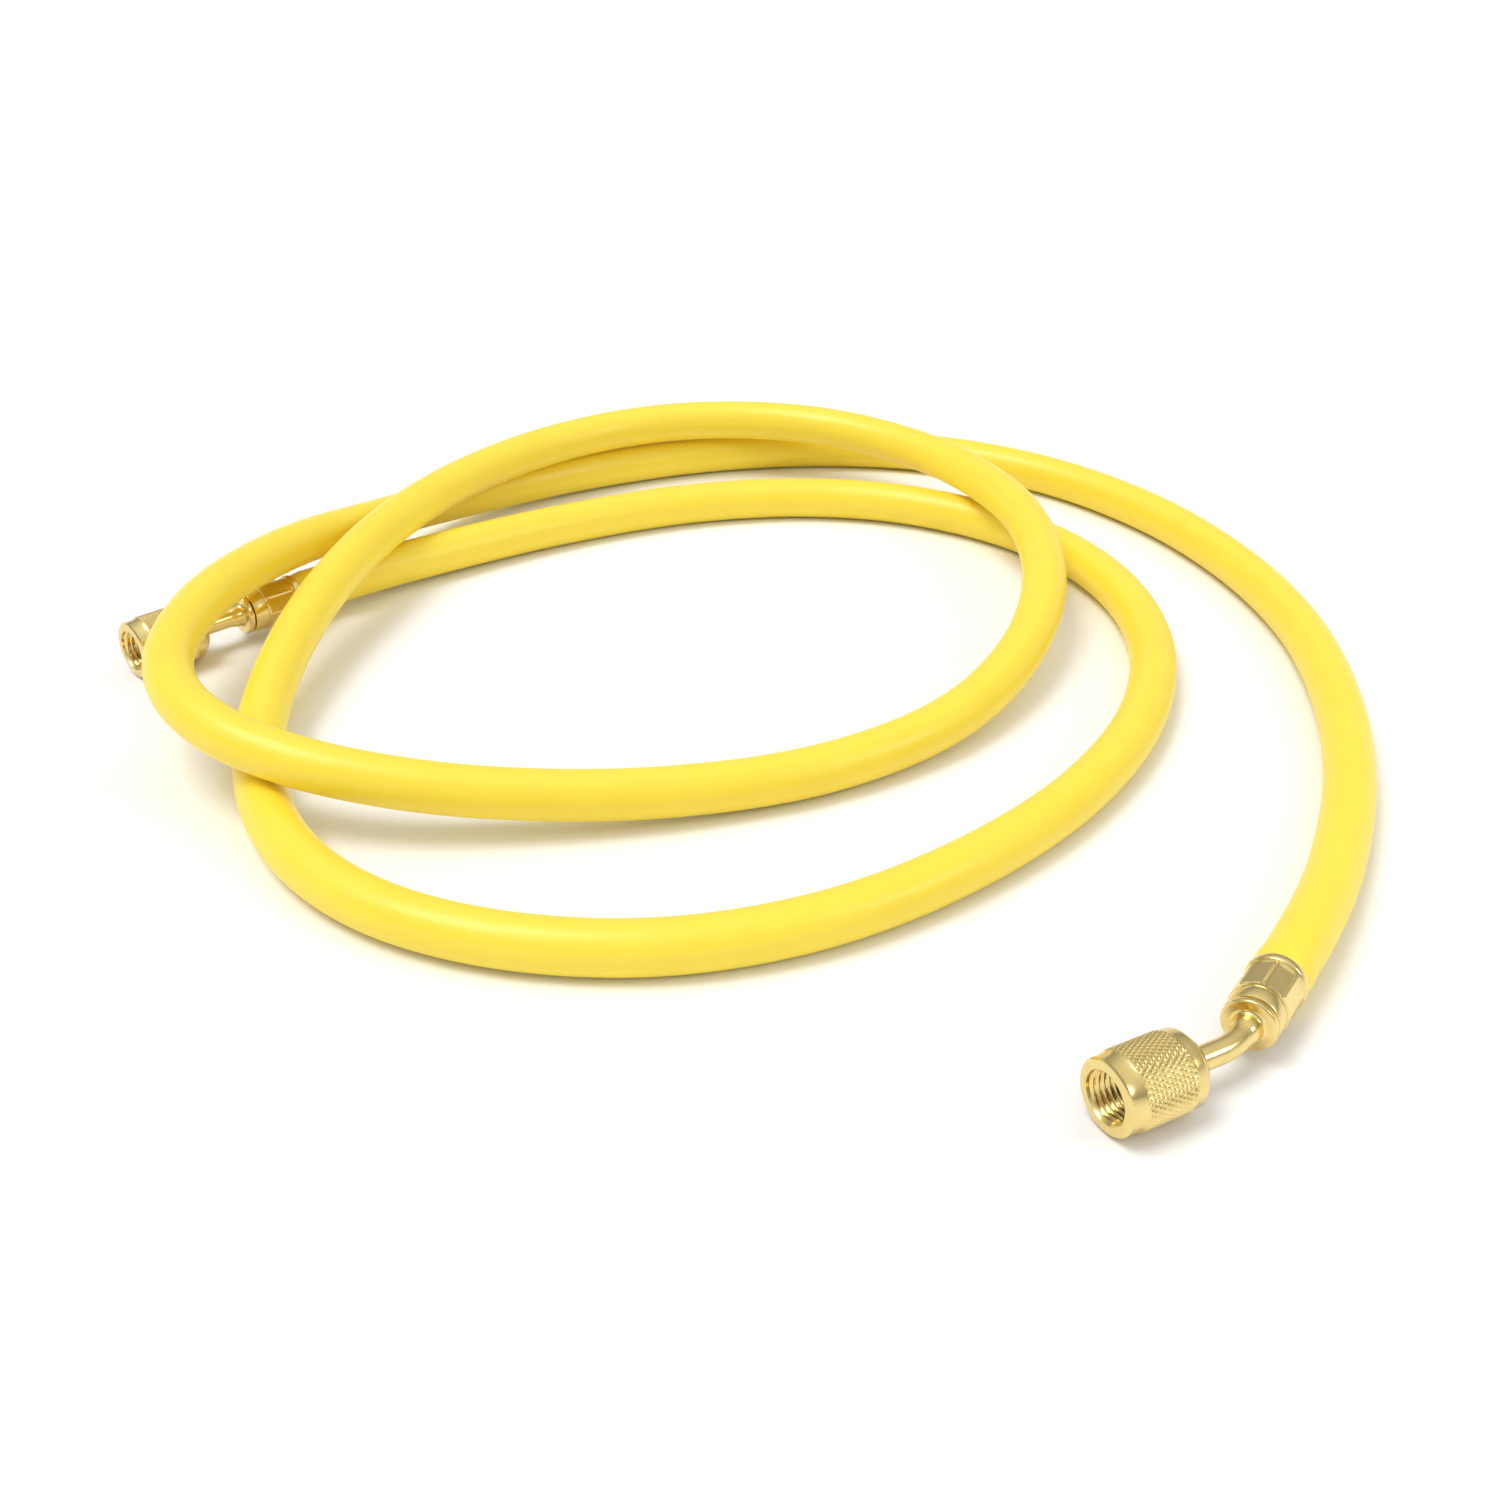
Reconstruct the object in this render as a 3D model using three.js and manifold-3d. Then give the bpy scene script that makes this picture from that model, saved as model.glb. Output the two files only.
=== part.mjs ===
// A refrigerant charging hose lying coiled on a flat surface: one rubber hose with a crimped
// brass fitting on each end. Millimetres, +Z up, the coil's footprint centred on the origin.
import * as THREE from 'three';
import { mergeVertices } from 'three/addons/utils/BufferGeometryUtils.js';
import Module from 'manifold-3d';

const wasm = await Module();
wasm.setup();

// Clearance between pieces that touch or slide in the real thing
const gap = 0.3;

// Hose
const hoseRadius = 6.25;
const hoseBoreRadius = 3;
const hoseSides = 12;
const hoseSteps = 80;
const neckRadius = 5.1; // the hose squeezed by its ferrule
const straightOut = 16; // the hose leaves a ferrule straight for this far

// Ferrule, measured from its face at the collar to its rolled lip
const ferruleLength = 15.8;
const ferruleFrontWall = 1.3;
const ferruleWall = 0.5; // at the middle of a crimped flat
const ferruleBandStep = 0.05; // the plain band over the flats
const ferruleBandLength = 4;
const crimpFlats = 8;
const lipStand = 0.15; // the rolled lip over the crimp's corners
const lipLength = 2.4;
const lipRound = 0.7;

// Stem: collar, hub, bend, shank and the head that carries the nut
const stemBoreRadius = 1.4;
const shankRadius = 2.6;
const hubRadius = 3.1;
const hubLength = 3;
const collarRadius = 5.85;
const collarThickness = 1.6;
const headRadius = 4.6;
const headThickness = 2.6;
const tailRadius = 2.35;
const barbRadius = 2.55;
const barbCount = 3;
const tailShort = 1.5; // the tail ends this far before the ferrule's lip
const bendRadius = 20;
const bentShank = 11.5; // from the nut to the bend's corner
const bentRun = 3.8; // from the corner to the hub
const straightShank = 7;
const straightRun = 2.6;

// Coupling nut, 7/16-20 UNF thread inside, measured from its mouth
const nutLength = 20.5;
const nutRadius = 8.3;
const nutBandRadius = 7.9;
const nutBandLength = 3;
const nutChamfer = 0.7;
const nutRearBand = 2;
const nutRearCone = 2.6;
const threadMinorRadius = 4.95;
const mouthRadius = 5.65;
const mouthChamfer = 0.7;
const seatDepth = 10; // from the mouth to the gasket
const gasketThickness = 2;
const gasketHoleRadius = 1.9;

// Valve-core depressor in the bent end
const depressorDiscRadius = 1.55;
const depressorDiscThickness = 0.9;
const depressorPinRadius = 0.7;
const depressorPinLength = 3.6;

// The two fittings: where the nut's mouth is, which way it faces, and the stem
const fittings = [
  {
    end: 'a', depressor: true,
    mouth: [-15, -170.8], heading: 186.2, bend: 28.3, shankLength: bentShank, neckRun: bentRun,
  },
  {
    end: 'b', depressor: false,
    mouth: [-159, 89.5], heading: 200.5, bend: 0, shankLength: straightShank, neckRun: straightRun,
  },
];

// The hose's route between the straight stretches at its ends: x, y and the lift off the surface.
// It lies in a loose coil of about two and a half turns, and passes over itself in low humps.
const route = [
  [74, -124.9, 0.6], [104.1, -93, 0.1], [128.8, -56.6, 0], [146.7, -16.6, 0], [155.1, 26.4, 0],
  [153.4, 69.2, 0], [140.2, 108.7, 0], [116, 140, 0], [84.1, 160, 0], [43.8, 171.2, 0.1],
  [0, 171.8, 0.4], [-41.5, 161.5, 2.2], [-78, 140.2, 7.8], [-110.2, 112.6, 15], [-134.5, 85.1, 18.2],
  [-146.4, 65.6, 18.2], [-152.7, 47, 17.6], [-152.7, 28.5, 16.7], [-146.4, 11.2, 15.1], [-134.7, -3.3, 12.9],
  [-117.1, -15.5, 9.7], [-91.6, -26, 5.6], [-53, -35.8, 1.9], [-10.3, -38.7, 0.4], [28.4, -30.3, 1.4],
  [60.2, -10.6, 5], [84.9, 18.9, 10], [98.8, 55.8, 12.9], [99.6, 94.5, 13.3], [91.2, 124, 13.2],
  [76.2, 147.3, 13.2], [55, 163.4, 13.2], [28.7, 171.7, 13.3], [1.1, 170.8, 13.3], [-28.9, 160.4, 13.5],
  [-61.4, 137.5, 14.2], [-91.4, 105.4, 13.8], [-116.7, 69.8, 9.2], [-133.9, 32.2, 3.4], [-139.6, -2, 0.7],
  [-135.7, -31.4, 0.1], [-123.4, -56.1, 0], [-102.1, -76.9, 0], [-72.9, -91.5, 0], [-38.6, -96, 0],
  [-0.3, -89.6, 0], [40.2, -72.8, 0], [75.3, -46.6, 0], [100, -14.2, 0], [111.9, 19.4, 0],
  [112.6, 51, 0], [102.5, 81, 0], [82.2, 106.5, 0], [54.3, 123.5, 0], [18.6, 132.2, 0],
  [-24.2, 131.4, 0.1], [-67.2, 122.5, 1],
];

const brass = { color: 0xdcc17c, roughness: 0.28, metalness: 1 };
const rubber = { color: 0xf5d431, roughness: 0.45, metalness: 0 };
const sealRubber = { color: 0x2b2a28, roughness: 0.7, metalness: 0 };

// Distances along a fitting, from the nut's mouth back towards the hose
const gasketBack = seatDepth + gasketThickness;
const headFront = gasketBack + gap;
const headBack = headFront + headThickness;
const nutShoulder = headBack + gap;
const rearHoleRadius = shankRadius + gap;
const gasketRadius = threadMinorRadius - gap;

// The crimp, from the squeezed hose outwards
const ferrulePocketRadius = neckRadius + gap;
const crimpFlatRadius = ferrulePocketRadius + ferruleWall;
const crimpCornerRadius = crimpFlatRadius / Math.cos(Math.PI / crimpFlats);
const ferruleBandRadius = crimpFlatRadius + ferruleBandStep;
const lipRadius = crimpCornerRadius + lipStand;

function toManifold(geometry) {
  const bare = geometry.clone();
  bare.deleteAttribute('normal');
  bare.deleteAttribute('uv');
  const merged = mergeVertices(bare, 1e-5);
  const vertProperties = new Float32Array(merged.attributes.position.array);
  const triVerts = new Uint32Array(merged.index.array);
  return new wasm.Manifold(new wasm.Mesh({ numProp: 3, vertProperties, triVerts }));
}

function toGeometry(solid) {
  const { vertProperties, triVerts } = solid.getMesh();
  const geometry = new THREE.BufferGeometry();
  geometry.setAttribute('position', new THREE.BufferAttribute(vertProperties, 3));
  geometry.setIndex(new THREE.BufferAttribute(triVerts, 1));
  geometry.computeVertexNormals();
  return geometry;
}

function namedMesh(name, geometry, look) {
  const mesh = new THREE.Mesh(geometry, new THREE.MeshStandardMaterial(look));
  mesh.name = name;
  return mesh;
}

// A turned solid along +X from [x, radius] pairs that run in the +X direction
function turned(profile, segments = 24) {
  const points = profile.map(([x, radius]) => new THREE.Vector2(radius, x));
  const geometry = new THREE.LatheGeometry(points, segments);
  geometry.rotateZ(-Math.PI / 2);
  return geometry;
}

// A plain round rod along +X
function rod(start, end, radius, segments = 24) {
  return turned([[start, 0], [start, radius], [end, radius], [end, 0]], segments);
}

// A round bar that follows a curve
function barAlong(curve, radius, sides, steps) {
  const section = new THREE.Shape();
  section.absarc(0, 0, radius, 0, 2 * Math.PI);
  return new THREE.ExtrudeGeometry(section, { extrudePath: curve, steps, curveSegments: sides / 2 });
}

// The places that a fitting's pieces take, all at the nut's height
function layOut({ mouth, heading, bend, shankLength, neckRun }) {
  const angle = THREE.MathUtils.degToRad(heading);
  const back = new THREE.Vector3(-Math.cos(angle), -Math.sin(angle), 0);
  const up = new THREE.Vector3(0, 0, 1);
  const tailBack = back.clone().applyAxisAngle(up, THREE.MathUtils.degToRad(bend));
  const nutMouth = new THREE.Vector3(mouth[0], mouth[1], nutRadius);
  const corner = nutMouth.clone().addScaledVector(back, nutLength + shankLength);
  const collarFront = corner.clone().addScaledVector(tailBack, neckRun + hubLength);
  const ferruleFront = collarFront.clone().addScaledVector(tailBack, collarThickness + gap);
  const ferruleMouth = ferruleFront.clone().addScaledVector(tailBack, ferruleLength);
  return { back, tailBack, nutMouth, corner, collarFront, ferruleFront, ferruleMouth };
}

// Stands a solid that was made along +X at a point, running the given way
function stand(geometry, point, direction) {
  const turn = new THREE.Quaternion().setFromUnitVectors(new THREE.Vector3(1, 0, 0), direction);
  geometry.applyMatrix4(new THREE.Matrix4().compose(point, turn, new THREE.Vector3(1, 1, 1)));
  return geometry;
}

function nutGeometry() {
  const rearConeRadius = nutRadius - nutRearCone;
  const knurlEnd = nutLength - nutRearBand - nutRearCone;
  return turned([
    [mouthChamfer, threadMinorRadius],
    [0, mouthRadius],
    [0, nutBandRadius - nutChamfer],
    [nutChamfer, nutBandRadius],
    [nutBandLength, nutBandRadius],
    [nutBandLength + nutChamfer, nutRadius],
    [knurlEnd, nutRadius],
    [knurlEnd + nutRearBand, nutRadius - gap],
    [nutLength, rearConeRadius],
    [nutLength, rearHoleRadius],
    [nutShoulder, rearHoleRadius],
    [nutShoulder, threadMinorRadius],
    [mouthChamfer, threadMinorRadius],
  ]);
}

function gasketGeometry() {
  return turned([
    [seatDepth, gasketHoleRadius],
    [seatDepth, gasketRadius],
    [gasketBack, gasketRadius],
    [gasketBack, gasketHoleRadius],
    [seatDepth, gasketHoleRadius],
  ]);
}

function depressorGeometry() {
  const discFront = gasketBack - depressorDiscThickness;
  return turned([
    [discFront - depressorPinLength, 0],
    [discFront - depressorPinLength, depressorPinRadius],
    [discFront, depressorPinRadius],
    [discFront, depressorDiscRadius],
    [gasketBack, depressorDiscRadius],
    [gasketBack, 0],
  ], 12);
}

function stemSolid(place) {
  const { back, tailBack, nutMouth, corner, collarFront, ferruleFront } = place;
  const tailLength = ferruleLength - tailShort;
  const tailPoint = (along) => ferruleFront.clone().addScaledVector(tailBack, along);
  const headPoint = nutMouth.clone().addScaledVector(back, headFront);
  const bendAngle = back.angleTo(tailBack);
  const bendRun = bendRadius * Math.tan(bendAngle / 2);
  const middle = new THREE.CurvePath();
  const bendStart = corner.clone().addScaledVector(back, -bendRun);
  const bendEnd = corner.clone().addScaledVector(tailBack, bendRun);
  const overlap = 0.5;
  middle.add(new THREE.LineCurve3(nutMouth.clone().addScaledVector(back, headBack - overlap), bendStart));
  if (bendRun > 0) middle.add(new THREE.QuadraticBezierCurve3(bendStart, corner, bendEnd));
  middle.add(new THREE.LineCurve3(bendEnd, collarFront.clone().addScaledVector(tailBack, overlap)));

  const barbPitch = tailLength / (barbCount + 1);
  const tailProfile = [[-collarThickness / 2, 0], [-collarThickness / 2, tailRadius]];
  for (let barb = 1; barb <= barbCount; barb += 1) {
    tailProfile.push([barb * barbPitch, barbRadius], [barb * barbPitch + gap, tailRadius]);
  }
  tailProfile.push([tailLength, tailRadius - gap], [tailLength, 0]);

  const outside = [
    stand(rod(0, headThickness, headRadius), headPoint, back),
    barAlong(middle, shankRadius, 16, 24),
    stand(rod(-hubLength, overlap, hubRadius), collarFront, tailBack),
    stand(rod(0, collarThickness, collarRadius), collarFront, tailBack),
    stand(turned(tailProfile, 16), ferruleFront, tailBack),
  ].map(toManifold);

  const passage = new THREE.CurvePath();
  passage.add(new THREE.LineCurve3(headPoint.clone().addScaledVector(back, -overlap), bendStart));
  if (bendRun > 0) passage.add(new THREE.QuadraticBezierCurve3(bendStart, corner, bendEnd));
  passage.add(new THREE.LineCurve3(bendEnd, tailPoint(tailLength + overlap)));
  const bore = toManifold(barAlong(passage, stemBoreRadius, 10, 30));
  return outside.reduce((body, part) => body.add(part)).subtract(bore);
}

function ferruleSolid() {
  const bandEnd = ferruleBandLength;
  const lipStart = ferruleLength - lipLength;
  const band = turned([[0, 0], [0, ferruleBandRadius - gap], [gap, ferruleBandRadius],
    [bandEnd, ferruleBandRadius], [bandEnd, 0]]);
  const crimped = rod(bandEnd - gap, lipStart + gap, crimpCornerRadius, crimpFlats);
  crimped.rotateX(Math.PI / crimpFlats);
  const lip = turned([
    [lipStart, 0],
    [lipStart, lipRadius - lipRound],
    [lipStart + lipRound, lipRadius],
    [ferruleLength - lipRound, lipRadius],
    [ferruleLength, lipRadius - lipRound],
    [ferruleLength, 0],
  ]);
  const hosePocket = rod(ferruleFrontWall, ferruleLength + 1, ferrulePocketRadius);
  const tailHole = rod(-1, ferruleFrontWall + 1, barbRadius + gap);
  return [band, crimped, lip].map(toManifold).reduce((body, part) => body.add(part))
    .subtract(toManifold(hosePocket)).subtract(toManifold(tailHole));
}

function hoseSolid(places) {
  const neckLength = ferruleLength - ferruleFrontWall - gap;
  const [placeA, placeB] = places;
  const along = (place, distance) => place.ferruleMouth.clone().addScaledVector(place.tailBack, distance);
  const points = [
    along(placeA, -neckLength),
    along(placeA, 0),
    along(placeA, straightOut),
    ...route.map(([x, y, lift]) => new THREE.Vector3(x, y, hoseRadius + lift)),
    along(placeB, straightOut),
    along(placeB, 0),
    along(placeB, -neckLength),
  ];
  const path = new THREE.CatmullRomCurve3(points, false, 'centripetal');
  path.arcLengthDivisions = 20 * points.length;
  const section = new THREE.Shape();
  const wall = new THREE.Path();
  for (let side = 0; side < hoseSides; side += 1) {
    const angle = side * 2 * Math.PI / hoseSides;
    const corner = [Math.cos(angle), Math.sin(angle)];
    if (side === 0) section.moveTo(hoseRadius * corner[0], hoseRadius * corner[1]);
    else section.lineTo(hoseRadius * corner[0], hoseRadius * corner[1]);
    if (side === 0) wall.moveTo(hoseBoreRadius * corner[0], hoseBoreRadius * corner[1]);
    else wall.lineTo(hoseBoreRadius * corner[0], hoseBoreRadius * corner[1]);
  }
  section.holes.push(wall);
  const tube = new THREE.ExtrudeGeometry(section, { extrudePath: path, steps: hoseSteps });
  const sleeve = turned([
    [gap, neckRadius],
    [gap, 2 * hoseRadius],
    [-neckLength - 1, 2 * hoseRadius],
    [-neckLength - 1, neckRadius],
    [gap, neckRadius],
  ].reverse());
  const cutters = places.map((place) => toManifold(stand(sleeve.clone(), place.ferruleMouth, place.tailBack)));
  return cutters.reduce((body, cutter) => body.subtract(cutter), toManifold(tube));
}

const chargingHose = new THREE.Group();
const places = fittings.map(layOut);
chargingHose.add(namedMesh('hose', toGeometry(hoseSolid(places)), rubber));

fittings.forEach((fitting, index) => {
  const place = places[index];
  const nutFrame = (geometry) => stand(geometry, place.nutMouth, place.back);
  const ferrule = stand(toGeometry(ferruleSolid()), place.ferruleFront, place.tailBack);
  chargingHose.add(namedMesh(`ferrule_${fitting.end}`, ferrule, brass));
  chargingHose.add(namedMesh(`stem_${fitting.end}`, toGeometry(stemSolid(place)), brass));
  chargingHose.add(namedMesh(`nut_${fitting.end}`, nutFrame(nutGeometry()), brass));
  chargingHose.add(namedMesh(`gasket_${fitting.end}`, nutFrame(gasketGeometry()), sealRubber));
  if (fitting.depressor) {
    chargingHose.add(namedMesh(`depressor_${fitting.end}`, nutFrame(depressorGeometry()), brass));
  }
});

export default chargingHose;
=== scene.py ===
import math
import bmesh
import bpy
from mathutils import Matrix, Vector


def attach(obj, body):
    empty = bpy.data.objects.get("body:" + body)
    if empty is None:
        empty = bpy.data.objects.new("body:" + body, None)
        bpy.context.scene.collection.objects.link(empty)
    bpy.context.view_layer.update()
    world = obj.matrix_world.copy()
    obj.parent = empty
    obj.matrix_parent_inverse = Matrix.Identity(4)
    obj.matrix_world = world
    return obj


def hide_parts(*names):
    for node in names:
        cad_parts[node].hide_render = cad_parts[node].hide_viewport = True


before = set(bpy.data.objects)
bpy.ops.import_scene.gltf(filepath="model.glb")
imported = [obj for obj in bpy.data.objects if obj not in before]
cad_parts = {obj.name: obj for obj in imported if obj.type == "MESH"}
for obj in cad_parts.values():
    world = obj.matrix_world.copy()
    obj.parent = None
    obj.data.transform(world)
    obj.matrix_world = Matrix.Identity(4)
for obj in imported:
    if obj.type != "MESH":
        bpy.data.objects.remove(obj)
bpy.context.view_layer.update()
mm = 0.001
print("stage: frame loaded")

# Camera, at the viewing angle of the photograph
cameraLook = {
    "place": (-178.05, -386.22, 234.25),  # mm in the part's frame
    "turn": 67.0,  # degrees from +X to where it looks
    "down": 30.0,
    "lens": 43.95,
    "sensor": 36.0,
}


def makeCamera(look):
    data = bpy.data.cameras.new("camera")
    data.sensor_width = look["sensor"]
    data.lens = look["lens"]
    data.clip_start = 0.01
    data.clip_end = 20
    camera = bpy.data.objects.new("camera", data)
    turn, down = math.radians(look["turn"]), math.radians(look["down"])
    aim = Vector((math.cos(turn) * math.cos(down), math.sin(turn) * math.cos(down), -math.sin(down)))
    camera.rotation_mode = "QUATERNION"
    camera.rotation_quaternion = aim.to_track_quat("-Z", "Y")
    camera.location = Vector(look["place"]) * mm
    bpy.context.scene.collection.objects.link(camera)
    bpy.context.scene.camera = camera


makeCamera(cameraLook)

# The two fittings, as in the CAD source, in mm
fittingSizes = {
    "gap": 0.3,
    "nutLength": 20.5,
    "nutRadius": 8.3,
    "ferruleLength": 15.8,
    "hubLength": 3.0,
    "collarThickness": 1.6,
    "bendRadius": 20.0,
    "straightOut": 16.0,
    "ferruleFrontWall": 1.3,
}
fittings = {
    "a": {"mouth": (-15.0, -170.8), "heading": 186.2, "bend": 28.3, "shank": 11.5, "neckRun": 3.8},
    "b": {"mouth": (-159.0, 89.5), "heading": 200.5, "bend": 0.0, "shank": 7.0, "neckRun": 2.6},
}


def layOut(fitting):
    s = fittingSizes
    angle = math.radians(fitting["heading"])
    back = Vector((-math.cos(angle), -math.sin(angle), 0))
    tailBack = Matrix.Rotation(math.radians(fitting["bend"]), 3, "Z") @ back
    mouth = Vector((fitting["mouth"][0], fitting["mouth"][1], s["nutRadius"]))
    corner = mouth + back * (s["nutLength"] + fitting["shank"])
    collar = corner + tailBack * (fitting["neckRun"] + s["hubLength"])
    ferrule = collar + tailBack * (s["collarThickness"] + s["gap"])
    lip = ferrule + tailBack * s["ferruleLength"]
    return {"back": back, "tailBack": tailBack, "mouth": mouth, "corner": corner,
            "collar": collar, "ferrule": ferrule, "lip": lip}


places = {end: layOut(fitting) for end, fitting in fittings.items()}


def standMatrix(origin, direction):
    # Turns a piece made along +X to run the given way, keeping +Z up
    side = Vector((0, 0, 1)).cross(direction)
    return Matrix((
        (direction.x, side.x, 0, origin.x),
        (direction.y, side.y, 0, origin.y),
        (direction.z, side.z, 1, origin.z),
        (0, 0, 0, 1),
    ))


def newPiece(name, bm, body, material, sharp=None):
    # bm is in mm, in the part's frame
    bmesh.ops.transform(bm, matrix=Matrix.Scale(mm, 4), verts=bm.verts)
    mesh = bpy.data.meshes.new(name)
    bm.to_mesh(mesh)
    bm.free()
    mesh.shade_smooth()
    if sharp is not None:
        mesh.set_sharp_from_angle(angle=math.radians(sharp))
    piece = bpy.data.objects.new(name, mesh)
    bpy.context.scene.collection.objects.link(piece)
    mesh.materials.append(material)
    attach(piece, body)
    return piece


def lathe(profile, steps, closed):
    # Spins (x, radius) pairs about the X axis
    bm = bmesh.new()
    verts = [bm.verts.new((x, radius, 0)) for x, radius in profile]
    edges = [bm.edges.new(pair) for pair in zip(verts, verts[1:])]
    if closed:
        edges.append(bm.edges.new((verts[-1], verts[0])))
    bmesh.ops.spin(bm, geom=verts + edges, cent=(0, 0, 0), axis=(1, 0, 0), dvec=(0, 0, 0),
                   angle=2 * math.pi, steps=steps, use_merge=True, use_duplicate=False)
    bmesh.ops.remove_doubles(bm, verts=bm.verts, dist=0.0005)
    bmesh.ops.recalc_face_normals(bm, faces=bm.faces)
    return bm


def fineRun(start, end, count):
    # Points of a profile between two of its points, both ends left out
    run, rise = end[0] - start[0], end[1] - start[1]
    return [(start[0] + run * i / count, start[1] + rise * i / count) for i in range(1, count)]


# Hose: its route as in the CAD source, x, y and the lift off the surface
hoseLook = {
    "radius": 6.25,
    "bore": 3.0,
    "sides": 36,
    "step": 3.0,
    "neck": 5.1,
    "bulge": 0.22,       # the rubber swells this much in front of the lip
    "bulgeAt": 3.2,
    "bulgeSpread": 1.8,
    "squeeze": 1.6,      # the hose narrows over this length, into the ferrule
}
route = [
    (74, -124.9, 0.6), (104.1, -93, 0.1), (128.8, -56.6, 0), (146.7, -16.6, 0), (155.1, 26.4, 0),
    (153.4, 69.2, 0), (140.2, 108.7, 0), (116, 140, 0), (84.1, 160, 0), (43.8, 171.2, 0.1),
    (0, 171.8, 0.4), (-41.5, 161.5, 2.2), (-78, 140.2, 7.8), (-110.2, 112.6, 15), (-134.5, 85.1, 18.2),
    (-146.4, 65.6, 18.2), (-152.7, 47, 17.6), (-152.7, 28.5, 16.7), (-146.4, 11.2, 15.1),
    (-134.7, -3.3, 12.9), (-117.1, -15.5, 9.7), (-91.6, -26, 5.6), (-53, -35.8, 1.9),
    (-10.3, -38.7, 0.4), (28.4, -30.3, 1.4), (60.2, -10.6, 5), (84.9, 18.9, 10), (98.8, 55.8, 12.9),
    (99.6, 94.5, 13.3), (91.2, 124, 13.2), (76.2, 147.3, 13.2), (55, 163.4, 13.2), (28.7, 171.7, 13.3),
    (1.1, 170.8, 13.3), (-28.9, 160.4, 13.5), (-61.4, 137.5, 14.2), (-91.4, 105.4, 13.8),
    (-116.7, 69.8, 9.2), (-133.9, 32.2, 3.4), (-139.6, -2, 0.7), (-135.7, -31.4, 0.1),
    (-123.4, -56.1, 0), (-102.1, -76.9, 0), (-72.9, -91.5, 0), (-38.6, -96, 0), (-0.3, -89.6, 0),
    (40.2, -72.8, 0), (75.3, -46.6, 0), (100, -14.2, 0), (111.9, 19.4, 0), (112.6, 51, 0),
    (102.5, 81, 0), (82.2, 106.5, 0), (54.3, 123.5, 0), (18.6, 132.2, 0), (-24.2, 131.4, 0.1),
    (-67.2, 122.5, 1),
]


def routePoints(look):
    s = fittingSizes
    inside = s["ferruleLength"] - s["ferruleFrontWall"] - s["gap"]
    a, b = places["a"], places["b"]
    points = [a["lip"] + a["tailBack"] * d for d in (-inside, 0, s["straightOut"])]
    points += [Vector((x, y, look["radius"] + lift)) for x, y, lift in route]
    points += [b["lip"] + b["tailBack"] * d for d in (s["straightOut"], 0, -inside)]
    return points, inside


def smoothPath(points, step):
    # Centripetal spline through the points, then evenly spaced
    dense = []
    for i in range(len(points) - 1):
        p1, p2 = points[i], points[i + 1]
        p0 = points[i - 1] if i > 0 else p1 * 2 - p2
        p3 = points[i + 2] if i + 2 < len(points) else p2 * 2 - p1
        d0, d1, d2 = [math.sqrt((q - p).length) for p, q in ((p0, p1), (p1, p2), (p2, p3))]
        m1 = ((p1 - p0) / d0 - (p2 - p0) / (d0 + d1) + (p2 - p1) / d1) * d1
        m2 = ((p2 - p1) / d1 - (p3 - p1) / (d1 + d2) + (p3 - p2) / d2) * d1
        for k in range(40):
            t = k / 40
            h0, h1 = 2 * t**3 - 3 * t**2 + 1, t**3 - 2 * t**2 + t
            dense.append(p1 * h0 + m1 * h1 + p2 * (1 - h0) + m2 * (t**3 - t**2))
    dense.append(points[-1].copy())
    runs = [0.0]
    for p, q in zip(dense, dense[1:]):
        runs.append(runs[-1] + (q - p).length)
    count = round(runs[-1] / step)
    spaced, k = [], 0
    for i in range(count + 1):
        want = runs[-1] * i / count
        while k < len(runs) - 2 and runs[k + 1] < want:
            k += 1
        part = (want - runs[k]) / (runs[k + 1] - runs[k])
        spaced.append(dense[k].lerp(dense[k + 1], min(1.0, part)))
    return spaced, runs[-1]


def pathFrames(path):
    # Tangent and a side that turns as little as it can, at each point of the path
    frames = []
    side = None
    for i, point in enumerate(path):
        tangent = (path[min(i + 1, len(path) - 1)] - path[max(i - 1, 0)]).normalized()
        if side is None:
            side = tangent.cross(Vector((0, 0, 1))).normalized()
        side = (side - tangent * side.dot(tangent)).normalized()
        frames.append((point, tangent, side))
    return frames


def makeHose(look, material):
    # The hose is turned straight, outside and bore in one, and then laid along its path
    points, inside = routePoints(look)
    path, length = smoothPath(points, look["step"])
    count = len(path) - 1
    outside, bore = [], []
    for i in range(count + 1):
        run = length * i / count
        fromEnd = min(run, length - run) - inside
        squeezed = 1 / (1 + math.exp(-(fromEnd - 0.2) / (look["squeeze"] * 0.25)))
        swell = look["bulge"] * math.exp(-((fromEnd - look["bulgeAt"]) / look["bulgeSpread"]) ** 2)
        outside.append((run, look["neck"] + (look["radius"] - look["neck"]) * squeezed + swell))
        bore.append((run, look["bore"]))
    bm = lathe(outside + bore[::-1], look["sides"], True)
    straight = bm.verts.layers.float_vector.new("straight")
    frames = pathFrames(path)
    for vert in bm.verts:
        vert[straight] = vert.co
        point, tangent, side = frames[round(vert.co.x / length * count)]
        vert.co = point + side * vert.co.y + tangent.cross(side) * vert.co.z
    bmesh.ops.recalc_face_normals(bm, faces=bm.faces)
    hose = newPiece("charging_hose", bm, "hose", material, sharp=50)
    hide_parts("hose")
    return hose, path, length


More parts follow.
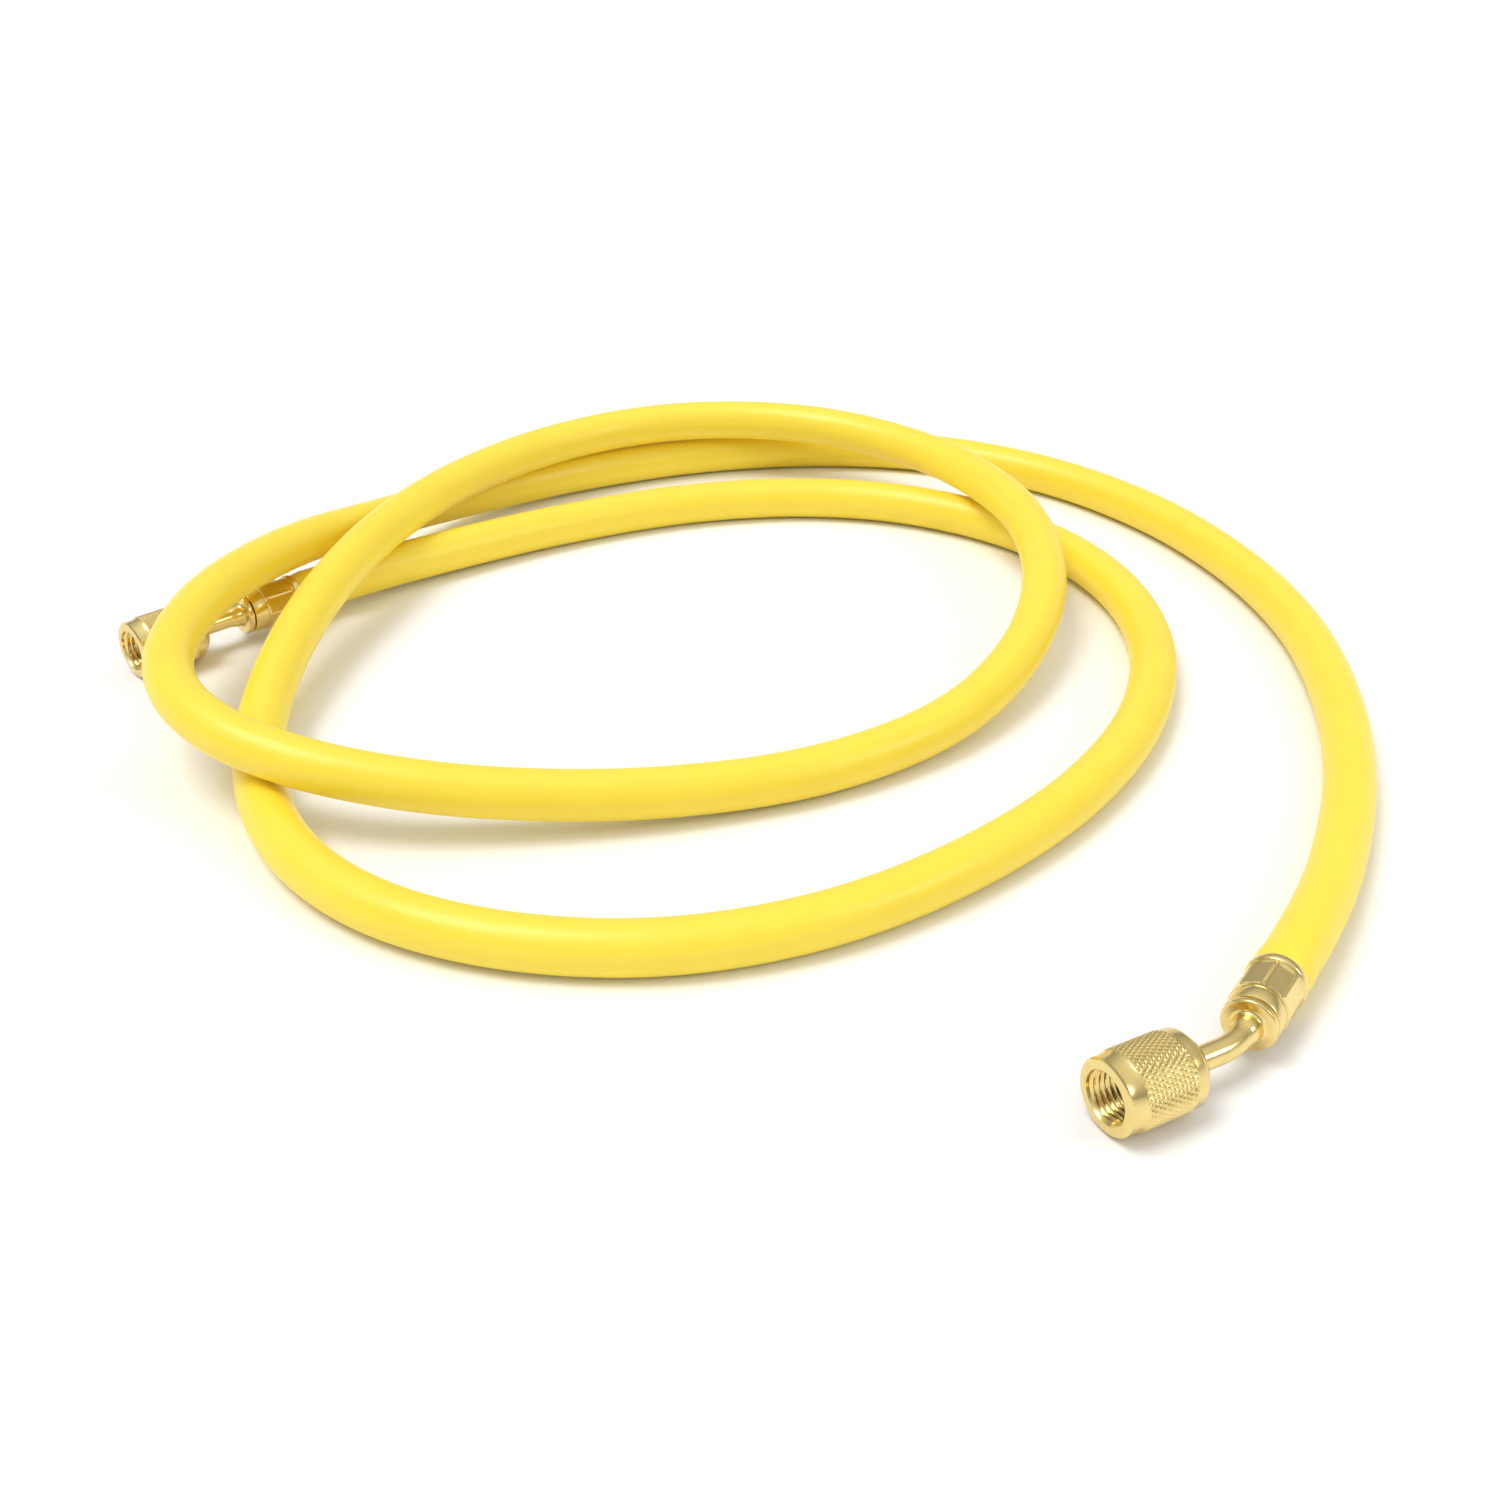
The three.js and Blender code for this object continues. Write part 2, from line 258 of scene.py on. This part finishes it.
# Looks
rubberLook = {
    "yellow": (0.97, 0.765, 0.062),
    "deep": (0.94, 0.705, 0.048),
    "roughness": (0.33, 0.42),
    "subsurface": 0.08,
    "scatter": (1.0, 0.8, 0.2),
    "scatterDepth": 0.002,
    "toneScale": 0.09,    # per mm of the straight hose
    "lineScale": 1.1,
    "lineStretch": 0.03,
    "lineHeight": 0.00012,   # m, height of the faint lines along the hose
    "lineStrength": 0.35,
}
brassLook = {
    "bright": (0.92, 0.725, 0.305),
    "dull": (0.75, 0.575, 0.215),
    "roughness": (0.14, 0.28),
    "grain": 400,         # per m
}
sealLook = {
    "black": (0.02, 0.02, 0.02),
    "roughness": 0.6,
    "grain": 900,         # per m
    "bump": 0.2,
    "bumpHeight": 0.0002,
}


def newMaterial(name):
    material = bpy.data.materials.new(name)
    material.use_nodes = True
    nodes, links = material.node_tree.nodes, material.node_tree.links
    return material, nodes, links, nodes["Principled BSDF"]


def makeRubber(look):
    # The patterns follow the straight hose, so its faint moulding lines run along it
    material, nodes, links, shader = newMaterial("hoseRubber")
    shader.inputs["Subsurface Weight"].default_value = look["subsurface"]
    shader.inputs["Subsurface Radius"].default_value = look["scatter"]
    shader.inputs["Subsurface Scale"].default_value = look["scatterDepth"]
    straight = nodes.new("ShaderNodeAttribute")
    straight.attribute_name = "straight"
    tone = nodes.new("ShaderNodeTexNoise")
    tone.inputs["Scale"].default_value = look["toneScale"]
    tone.inputs["Detail"].default_value = 3
    links.new(straight.outputs["Vector"], tone.inputs["Vector"])
    tint = nodes.new("ShaderNodeMix")
    tint.data_type = "RGBA"
    tint.inputs["A"].default_value = (*look["deep"], 1)
    tint.inputs["B"].default_value = (*look["yellow"], 1)
    links.new(tone.outputs["Fac"], tint.inputs["Factor"])
    links.new(tint.outputs["Result"], shader.inputs["Base Color"])
    rough = nodes.new("ShaderNodeMapRange")
    rough.inputs["To Min"].default_value, rough.inputs["To Max"].default_value = look["roughness"]
    links.new(tone.outputs["Fac"], rough.inputs["Value"])
    links.new(rough.outputs["Result"], shader.inputs["Roughness"])
    stretch = nodes.new("ShaderNodeMapping")
    stretch.inputs["Scale"].default_value = (look["lineStretch"], 1, 1)
    links.new(straight.outputs["Vector"], stretch.inputs["Vector"])
    lines = nodes.new("ShaderNodeTexNoise")
    lines.inputs["Scale"].default_value = look["lineScale"]
    lines.inputs["Detail"].default_value = 4
    links.new(stretch.outputs["Vector"], lines.inputs["Vector"])
    bump = nodes.new("ShaderNodeBump")
    bump.inputs["Strength"].default_value = look["lineStrength"]
    bump.inputs["Distance"].default_value = look["lineHeight"]
    links.new(lines.outputs["Fac"], bump.inputs["Height"])
    links.new(bump.outputs["Normal"], shader.inputs["Normal"])
    return material


def makeBrass(look):
    material, nodes, links, shader = newMaterial("brass")
    shader.inputs["Metallic"].default_value = 1.0
    place = nodes.new("ShaderNodeTexCoord")
    noise = nodes.new("ShaderNodeTexNoise")
    noise.inputs["Scale"].default_value = look["grain"]
    noise.inputs["Detail"].default_value = 4
    links.new(place.outputs["Object"], noise.inputs["Vector"])
    tint = nodes.new("ShaderNodeMix")
    tint.data_type = "RGBA"
    tint.inputs["A"].default_value = (*look["dull"], 1)
    tint.inputs["B"].default_value = (*look["bright"], 1)
    links.new(noise.outputs["Fac"], tint.inputs["Factor"])
    links.new(tint.outputs["Result"], shader.inputs["Base Color"])
    rough = nodes.new("ShaderNodeMapRange")
    rough.inputs["To Min"].default_value = look["roughness"][1]
    rough.inputs["To Max"].default_value = look["roughness"][0]
    links.new(noise.outputs["Fac"], rough.inputs["Value"])
    links.new(rough.outputs["Result"], shader.inputs["Roughness"])
    return material


def makeSeal(look):
    material, nodes, links, shader = newMaterial("sealRubber")
    place = nodes.new("ShaderNodeTexCoord")
    noise = nodes.new("ShaderNodeTexNoise")
    noise.inputs["Scale"].default_value = look["grain"]
    links.new(place.outputs["Object"], noise.inputs["Vector"])
    bump = nodes.new("ShaderNodeBump")
    bump.inputs["Strength"].default_value = look["bump"]
    bump.inputs["Distance"].default_value = look["bumpHeight"]
    links.new(noise.outputs["Fac"], bump.inputs["Height"])
    links.new(bump.outputs["Normal"], shader.inputs["Normal"])
    shader.inputs["Base Color"].default_value = (*look["black"], 1)
    shader.inputs["Roughness"].default_value = look["roughness"]
    return material


rubber = makeRubber(rubberLook)
brass = makeBrass(brassLook)
seal = makeSeal(sealLook)
print("stage: materials made")

hose, hosePath, hoseLength = makeHose(hoseLook, rubber)
print("stage: hose made,", round(hoseLength), "mm long")


nutLook = {
    "steps": 288,
    "band": 7.9,
    "bandLength": 3.0,
    "chamfer": 0.7,
    "knurlTeeth": 48,
    "knurlSlant": 30.0,   # degrees from the nut's axis
    "knurlDepth": 0.25,
    "knurlCrest": 1.25,   # over 1 flattens the diamonds' tips
    "knurlStep": 0.17,    # between the mesh's rings
    "rearBand": 2.0,
    "rearCone": 2.6,
    "rearHole": 2.9,
    "threadMinor": 4.95,
    "threadDepth": 0.6,
    "threadPitch": 1.27,
    "threadStep": 0.16,
    "mouthRadius": 5.65,
    "mouthChamfer": 0.7,
    "shoulder": 15.2,
    "threadEnd": 9.3,
}


def zigzag(value):
    part = value - math.floor(value)
    return 1 - abs(2 * part - 1)


def makeNut(end, look, material):
    s = fittingSizes
    radius, length = s["nutRadius"], s["nutLength"]
    knurlStart = look["bandLength"] + look["chamfer"]
    knurlEnd = length - look["rearBand"] - look["rearCone"]
    threadStart = look["mouthChamfer"]
    rearRadius = radius - look["rearCone"]
    threadCount = round((look["threadEnd"] - threadStart) / look["threadStep"])
    knurlCount = round((knurlEnd - knurlStart) / look["knurlStep"])
    inner, hole = look["threadMinor"], look["rearHole"]
    profile = [(0, look["mouthRadius"]), (0, look["band"] - look["chamfer"]),
               (0.12, look["band"] - look["chamfer"] * 0.5), (look["chamfer"] * 0.7, look["band"]),
               (look["bandLength"], look["band"]), (knurlStart - 0.02, radius - look["knurlDepth"] * 0.4),
               (knurlStart, radius)]
    profile += fineRun((knurlStart, radius), (knurlEnd, radius), knurlCount)
    coneStart = knurlEnd + look["rearBand"]
    profile += [(knurlEnd, radius), (knurlEnd + 0.25, radius - 0.3), (coneStart, radius - 0.3),
                (coneStart + 0.3, radius - 0.42), (length - 0.2, rearRadius), (length, rearRadius - 0.25),
                (length, hole + 0.3), (length - 0.3, hole), (look["shoulder"], hole),
                (look["shoulder"], inner), (look["threadEnd"], inner)]
    profile += fineRun((look["threadEnd"], inner), (threadStart, inner), threadCount)
    profile += [(threadStart, inner)]
    bm = lathe(profile, look["steps"], True)
    slope = math.tan(math.radians(look["knurlSlant"])) * look["knurlTeeth"] / (2 * math.pi * radius)
    for vert in bm.verts:
        x, r = vert.co.x, math.hypot(vert.co.y, vert.co.z)
        turns = math.atan2(vert.co.z, vert.co.y) / (2 * math.pi)
        if knurlStart - 0.001 < x < knurlEnd + 0.001 and r > radius - 0.01:
            fade = min(1.0, (x - knurlStart) / 0.5, (knurlEnd - x) / 0.5)
            one = zigzag(turns * look["knurlTeeth"] + x * slope)
            other = zigzag(turns * look["knurlTeeth"] - x * slope)
            height = min(1.0, look["knurlCrest"] * min(one, other))
            cut = look["knurlDepth"] * (1 - height * max(0.0, fade))
            vert.co.y *= (r - cut) / r
            vert.co.z *= (r - cut) / r
        elif threadStart - 0.001 < x < look["threadEnd"] - 0.001 and r < inner + 0.01:
            groove = zigzag(x / look["threadPitch"] - turns) * 1.3 - 0.15
            depth = look["threadDepth"] * min(1.0, max(0.0, groove))
            fade = min(1.0, (look["threadEnd"] - x) / 1.2)   # the thread runs out
            vert.co.y *= (r + depth * fade) / r
            vert.co.z *= (r + depth * fade) / r
    place = places[end]
    bmesh.ops.transform(bm, matrix=standMatrix(place["mouth"], place["back"]), verts=bm.verts)
    nut = newPiece("knurled_nut_" + end, bm, "nut_" + end, material, sharp=28)
    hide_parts("nut_" + end)
    return nut


stemLook = {
    "steps": 64,
    "bore": 1.4,
    "shank": 2.6,
    "hub": 3.1,
    "collar": 5.85,
    "head": 4.6,
    "headFront": 12.3,
    "headThickness": 2.6,
    "tail": 2.35,
    "barb": 2.55,
    "barbs": 3,
    "tailShort": 1.5,
}


def radiusAt(outline, x):
    for (x0, r0), (x1, r1) in zip(outline, outline[1:]):
        if x <= x1:
            return r0 + (r1 - r0) * (x - x0) / (x1 - x0)
    return outline[-1][1]


def makeStem(end, look, material):
    s, fitting, place = fittingSizes, fittings[end], places[end]
    toCorner = s["nutLength"] + fitting["shank"]
    collarAt = toCorner + fitting["neckRun"] + s["hubLength"]
    collarEnd = collarAt + s["collarThickness"]
    tailStart = collarEnd + s["gap"]
    tailLength = s["ferruleLength"] - look["tailShort"]
    headBack = look["headFront"] + look["headThickness"]
    shank, hub, hubAt = look["shank"], look["hub"], collarAt - s["hubLength"]
    outline = [(headBack, shank), (hubAt - 1.5, shank), (hubAt - 0.5, shank + 0.1), (hubAt + 0.6, hub - 0.1),
               (hubAt + 1.4, hub), (collarAt - 0.9, hub + 0.04), (collarAt - 0.4, hub + 0.2),
               (collarAt - 0.1, hub + 0.5), (collarAt, hub + 0.9)]
    profile = [(look["headFront"], look["bore"]), (look["headFront"], look["head"] - 0.3),
               (look["headFront"] + 0.3, look["head"]), (headBack - 0.2, look["head"]),
               (headBack, look["head"] - 0.2)]
    even = [headBack + (collarAt - headBack) * i / 70 for i in range(71)]
    runs = sorted(set(even + [x for x, edge in outline]))
    profile += [(x, radiusAt(outline, x)) for x in runs]
    collar = look["collar"]
    profile += [(collarAt, collar - 0.45), (collarAt + 0.1, collar - 0.2), (collarAt + 0.3, collar - 0.04),
                (collarAt + 0.5, collar), (collarEnd - 0.35, collar), (collarEnd - 0.1, collar - 0.1),
                (collarEnd, collar - 0.35), (collarEnd, look["tail"])]
    pitch = tailLength / (look["barbs"] + 1)
    for barb in range(1, look["barbs"] + 1):
        profile += [(tailStart + barb * pitch, look["barb"]), (tailStart + barb * pitch + 0.3, look["tail"])]
    profile += [(tailStart + tailLength, look["tail"] - 0.3), (tailStart + tailLength, look["bore"])]
    profile += [(collarEnd, look["bore"])] + [(x, look["bore"]) for x in reversed(even)]
    bm = lathe(profile, look["steps"], True)
    # The straight turned stem is bent round its corner, in plan
    bend = math.radians(fitting["bend"])
    radius = s["bendRadius"]
    reach = radius * math.tan(bend / 2)
    bendStart, bendEnd = toCorner - reach, toCorner + reach
    for vert in bm.verts:
        x, y, z = vert.co
        if bend == 0 or x <= bendStart:
            continue
        turn = bend * min(1.0, (x - bendStart) / (2 * reach))
        centre = Vector((bendStart + radius * math.sin(turn), radius * (1 - math.cos(turn)), 0))
        along = Vector((math.cos(turn), math.sin(turn), 0))
        side = Vector((-math.sin(turn), math.cos(turn), 0))
        vert.co = centre + along * max(0.0, x - bendEnd) + side * y + Vector((0, 0, z))
    bmesh.ops.transform(bm, matrix=standMatrix(place["mouth"], place["back"]), verts=bm.verts)
    stem = newPiece("hose_stem_" + end, bm, "hose", material, sharp=35)
    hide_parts("stem_" + end)
    return stem


ferruleLook = {
    "steps": 192,
    "band": 5.95,
    "bandLength": 4.0,
    "panels": 8,
    "flat": 5.95,
    "fin": 0.22,
    "finWidth": 0.04,     # of a panel
    "fade": 0.9,          # the panels fade out over this length at both ends
    "lip": 6.54,
    "lipLength": 2.4,
    "hosePocket": 5.4,
    "tailHole": 2.85,
    "wall": 1.3,
    "mouth": 5.7,
}


def makeFerrule(end, look, material):
    s, place = fittingSizes, places[end]
    length = s["ferruleLength"]
    crimpStart, crimpEnd = look["bandLength"], length - look["lipLength"]
    lip, band, tailHole = look["lip"], look["band"], look["tailHole"]
    body = look["flat"] + 0.25
    profile = [(0, tailHole), (0, band - 0.3), (0.1, band - 0.1), (0.3, band),
               (crimpStart - 0.4, band), (crimpStart, band - 0.1), (crimpStart + 0.2, body)]
    profile += fineRun((crimpStart + 0.2, body), (crimpEnd - 0.2, body), 30)
    profile += [(crimpEnd - 0.2, body), (crimpEnd, lip - 0.6), (crimpEnd + 0.2, lip - 0.25),
                (crimpEnd + 0.5, lip - 0.06), (crimpEnd + 0.9, lip), (length - 0.8, lip),
                (length - 0.35, lip - 0.12), (length - 0.08, lip - 0.42), (length, lip - 0.7),
                (length - 0.1, look["mouth"] + 0.05), (length - 0.5, look["hosePocket"]),
                (look["wall"], look["hosePocket"]), (look["wall"], tailHole)]
    bm = lathe(profile, look["steps"], True)
    share = 2 * math.pi / look["panels"]
    for vert in bm.verts:
        x, r = vert.co.x, math.hypot(vert.co.y, vert.co.z)
        if crimpStart + 0.1 < x < crimpEnd - 0.1 and r > look["hosePocket"] + 0.1:
            turns = math.atan2(vert.co.z, vert.co.y) / share + 0.5   # a fin stands straight up
            part = abs(turns - round(turns))
            flat = look["flat"] / math.cos(part * share)
            fin = look["fin"] * math.exp(-((0.5 - part) / look["finWidth"]) ** 2)
            fade = min(1.0, (x - crimpStart - 0.1) / look["fade"], (crimpEnd - 0.1 - x) / look["fade"])
            fade = fade * fade * (3 - 2 * fade)
            want = r + (flat - 0.12 + fin - r) * fade
            vert.co.y *= want / r
            vert.co.z *= want / r
    bmesh.ops.transform(bm, matrix=standMatrix(place["ferrule"], place["tailBack"]), verts=bm.verts)
    ferrule = newPiece("crimped_ferrule_" + end, bm, "hose", material, sharp=30)
    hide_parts("ferrule_" + end)
    return ferrule


gasketLook = {"hole": 1.9, "radius": 4.65, "front": 10.0, "thickness": 2.0, "round": 0.35, "steps": 72}


def makeGasket(end, look, material):
    front, back = look["front"], look["front"] + look["thickness"]
    hole, rim, soft = look["hole"], look["radius"], look["round"]
    edge = soft * 0.3
    profile = [(front, hole + soft), (front, rim - soft), (front + edge, rim - edge), (front + soft, rim),
               (back - soft, rim), (back - edge, rim - edge), (back, rim - soft), (back, hole + soft),
               (back - soft, hole), (front + soft, hole), (front + edge, hole + edge)]
    bm = lathe(profile, look["steps"], True)
    place = places[end]
    bmesh.ops.transform(bm, matrix=standMatrix(place["mouth"], place["back"]), verts=bm.verts)
    gasket = newPiece("seat_gasket_" + end, bm, "hose", material, sharp=40)
    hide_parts("gasket_" + end)
    return gasket


depressorLook = {"disc": 1.55, "discThickness": 0.9, "pin": 0.7, "pinLength": 3.6, "back": 12.0, "steps": 40}


def makeDepressor(end, look, material):
    pin, disc = look["pin"], look["disc"]
    discFront = look["back"] - look["discThickness"]
    tip = discFront - look["pinLength"]
    profile = [(tip, 0), (tip, pin - 0.2), (tip + 0.2, pin), (discFront - 0.2, pin), (discFront, pin + 0.2),
               (discFront, disc - 0.15), (discFront + 0.15, disc), (look["back"], disc), (look["back"], 0)]
    bm = lathe(profile, look["steps"], False)
    place = places[end]
    bmesh.ops.transform(bm, matrix=standMatrix(place["mouth"], place["back"]), verts=bm.verts)
    depressor = newPiece("core_depressor_" + end, bm, "hose", material, sharp=40)
    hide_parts("depressor_" + end)
    return depressor


for end in fittings:
    makeFerrule(end, ferruleLook, brass)
    makeStem(end, stemLook, brass)
    makeNut(end, nutLook, brass)
    makeGasket(end, gasketLook, seal)
makeDepressor("a", depressorLook, brass)
print("stage: fittings made")

# Floor and light
studioLook = {
    "floorSize": 16.0,
    "floorColour": (0.93, 0.93, 0.93),
    "room": [(0.0, 0.95), (0.14, 0.95), (0.3, 0.3), (1.0, 1.0)],   # height and brightness
    "keyFrom": (-0.55, 0.1, 1.3),
    "keyStrength": 1.45,
    "keyAngle": 30.0,     # degrees that the soft key light spans
    "fillFrom": (0.9, -0.9, 0.8),   # m
    "fillSize": 0.5,
    "fillPower": 3.0,
}


def makeStudio(look):
    bm = bmesh.new()
    bmesh.ops.create_grid(bm, x_segments=8, y_segments=8, size=look["floorSize"] / 2)
    mesh = bpy.data.meshes.new("floor")
    bm.to_mesh(mesh)
    bm.free()
    floor = bpy.data.objects.new("floor", mesh)
    bpy.context.scene.collection.objects.link(floor)
    material, nodes, links, shader = newMaterial("floorPaper")
    shader.inputs["Base Color"].default_value = (*look["floorColour"], 1)
    shader.inputs["Roughness"].default_value = 0.9
    shader.inputs["Specular IOR Level"].default_value = 0.1
    mesh.materials.append(material)
    world = bpy.data.worlds.new("studio")
    world.use_nodes = True
    nodes, links = world.node_tree.nodes, world.node_tree.links
    direction = nodes.new("ShaderNodeTexCoord")
    height = nodes.new("ShaderNodeSeparateXYZ")
    links.new(direction.outputs["Generated"], height.inputs["Vector"])
    # A pale backdrop low down, a darker room above it and a wide soft light overhead
    room = nodes.new("ShaderNodeValToRGB")
    while len(room.color_ramp.elements) < len(look["room"]):
        room.color_ramp.elements.new(0.5)
    for element, (rise, brightness) in zip(room.color_ramp.elements, look["room"]):
        element.position = rise
        element.color = (brightness, brightness, brightness, 1)
    links.new(height.outputs["Z"], room.inputs["Fac"])
    links.new(room.outputs["Color"], nodes["Background"].inputs["Color"])
    bpy.context.scene.world = world
    key = bpy.data.lights.new("keyLight", "SUN")
    key.energy = look["keyStrength"]
    key.angle = math.radians(look["keyAngle"])
    fill = bpy.data.lights.new("fillLight", "AREA")
    fill.shape = "DISK"
    fill.size = look["fillSize"]
    fill.energy = look["fillPower"]
    for data, place in ((key, look["keyFrom"]), (fill, look["fillFrom"])):
        light = bpy.data.objects.new(data.name, data)
        light.location = place
        light.rotation_mode = "QUATERNION"
        light.rotation_quaternion = (-Vector(place)).to_track_quat("-Z", "Y")
        bpy.context.scene.collection.objects.link(light)
    bpy.context.scene.view_settings.view_transform = "Standard"


makeStudio(studioLook)
print("stage: studio made")
